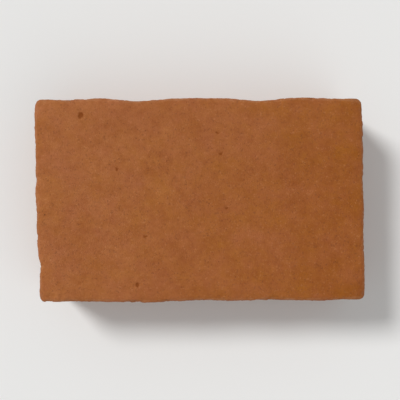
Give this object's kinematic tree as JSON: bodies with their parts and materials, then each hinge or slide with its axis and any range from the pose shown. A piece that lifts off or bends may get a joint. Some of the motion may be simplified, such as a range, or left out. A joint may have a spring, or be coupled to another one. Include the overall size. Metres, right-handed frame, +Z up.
{
  "type": "paving stone",
  "caption": "Rectangular pressed concrete paving stone with wandering plumb walls, a flat wearing face that rolls off to a rounded arris, and upright spacer nibs on its walls.",
  "frame": {"origin": "middle of the bed, the underside, between the spacer nibs' outer faces", "axes": "+X along the stone's length, the way the course runs; +Y to the back of the stone; +Z up, out of the wearing face"},
  "size_m": [0.242, 0.15, 0.06],
  "materials": {
    "terracotta_concrete": "through-coloured pressed concrete, fine sandy face, dry and matt"
  },
  "bodies": {
    "root": {"paving_stone": "terracotta_concrete"}
  },
  "joints": []
}
